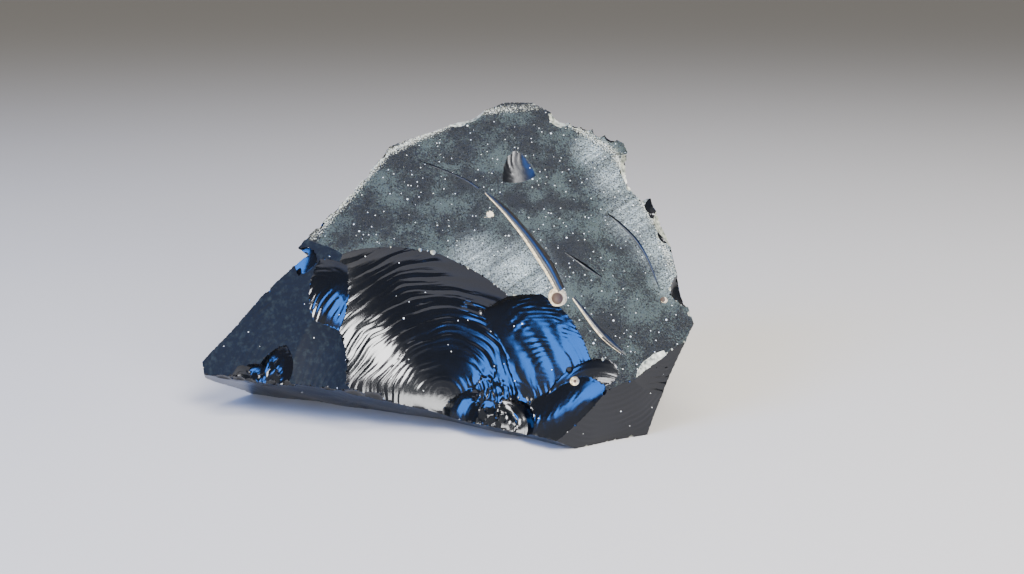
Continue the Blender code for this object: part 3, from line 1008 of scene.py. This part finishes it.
class CHUNK_OT_materials(bpy.types.Operator):
    """Make the six finishes of the glass"""

    bl_idname = "chunk.materials"
    bl_label = "Make the glass"

    def execute(self, context):
        colours = context.scene.chunk_colours
        for make in (old_glass, fresh_glass, bubble_crust, bruised_glass, dulled_glass, silky_glass):
            make(colours)
        return {"FINISHED"}


class CHUNK_OT_strike(bpy.types.Operator):
    """Strike the chunk from its block, and stand it for the solid"""

    bl_idname = "chunk.strike"
    bl_label = "Strike the chunk"

    def execute(self, context):
        sizes = context.scene.chunk_sizes
        noise.seed_set(FACET_SEED)
        tools = [fracture_tool(each, sizes) for each in FACES + SCARS + FLAKES]
        tools += [groove_tool(*groove) for groove in GROOVES + HAIRLINES]
        tools += [fracture_tool(each, sizes) for each in nick_fractures()]
        tools += [fracture_tool(each, sizes) for each in BUBBLES]
        mesh = strike(block_mesh(), tools)
        mesh = strike(mesh, [crumb_tool(mesh)])
        mesh.name = "struck_obsidian"
        mesh.transform(Matrix.Translation(-Vector(TABLE_ORIGIN) * MM))
        fit_box(mesh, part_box(NODE))
        mesh.shade_smooth()
        mesh.set_sharp_from_angle(angle=math.radians(SHARP_ANGLE))
        piece = bpy.data.objects.new("struck_obsidian", mesh)
        context.scene.collection.objects.link(piece)
        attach(piece, "root")
        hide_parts(NODE)
        return {"FINISHED"}


def add_lamp(name, stand, size, power, colour):
    """A soft rectangular lamp that stands across and above the front of the chunk, turned to it."""
    lamp = bpy.data.lights.new(name, "AREA")
    lamp.shape = "RECTANGLE"
    lamp.size, lamp.size_y = size
    lamp.energy = power
    lamp.color = linear(colour)[:3]
    light = bpy.data.objects.new(name, lamp)
    light.location = facing((*stand, 0)) @ Vector((0, 0, LAMP_DISTANCE))
    light.rotation_euler = (Vector(LAMP_AIM) - light.location).to_track_quat("-Z", "Y").to_euler()
    bpy.context.scene.collection.objects.link(light)


class CHUNK_OT_stage(bpy.types.Operator):
    """Lay the floor, and set the lamps and the camera"""

    bl_idname = "chunk.stage"
    bl_label = "Set the stage"

    def execute(self, context):
        scene = context.scene
        bpy.ops.mesh.primitive_plane_add(size=FLOOR_SIZE, location=(0, 0, 0))
        floor = context.object
        floor.name = "floor"
        floor.data.materials.append(paper_sweep(scene.chunk_colours))
        for lamp in LAMPS:
            add_lamp(*lamp)
        ceiling = bpy.data.lights.new("ceiling", "SUN")
        ceiling.angle = math.radians(CEILING_SPREAD)
        ceiling.energy = CEILING_POWER
        scene.collection.objects.link(bpy.data.objects.new("ceiling", ceiling))
        world = bpy.data.worlds.new("studio")
        scene.world = world
        world.use_nodes = True
        backdrop = world.node_tree.nodes["Background"]
        backdrop.inputs["Color"].default_value = linear(STUDIO_COLOUR)
        backdrop.inputs["Strength"].default_value = STUDIO_POWER
        camera = bpy.data.cameras.new("camera")
        camera.sensor_width = CAMERA_SENSOR
        camera.lens = CAMERA_LENS
        view = bpy.data.objects.new("camera", camera)
        view.location = (Vector(CAMERA_PLACE) - Vector(TABLE_ORIGIN)) * MM
        view.rotation_euler = (math.radians(90 - CAMERA_TILT), 0, 0)
        scene.collection.objects.link(view)
        scene.camera = view
        return {"FINISHED"}


class CHUNK_PT_panel(bpy.types.Panel):
    """Everything that makes the chunk, in order"""

    bl_idname = "CHUNK_PT_panel"
    bl_label = "Obsidian chunk"
    bl_space_type = "VIEW_3D"
    bl_region_type = "UI"
    bl_category = "Chunk"

    def draw(self, context):
        for group in (context.scene.chunk_sizes, context.scene.chunk_colours):
            for name in group.__annotations__:
                self.layout.prop(group, name)
        for operator in (CHUNK_OT_materials, CHUNK_OT_strike, CHUNK_OT_stage):
            self.layout.operator(operator.bl_idname)


CLASSES = (ChunkSizes, ChunkColours, CHUNK_OT_materials, CHUNK_OT_strike, CHUNK_OT_stage, CHUNK_PT_panel)


def register():
    for each in CLASSES:
        bpy.utils.register_class(each)
    bpy.types.Scene.chunk_sizes = PointerProperty(type=ChunkSizes)
    bpy.types.Scene.chunk_colours = PointerProperty(type=ChunkColours)


def unregister():
    del bpy.types.Scene.chunk_colours
    del bpy.types.Scene.chunk_sizes
    for each in reversed(CLASSES):
        bpy.utils.unregister_class(each)


def main():
    """Make the chunk and its stage."""
    register()
    bpy.ops.chunk.materials()
    bpy.ops.chunk.strike()
    bpy.ops.chunk.stage()


if __name__ == "__main__":
    main()
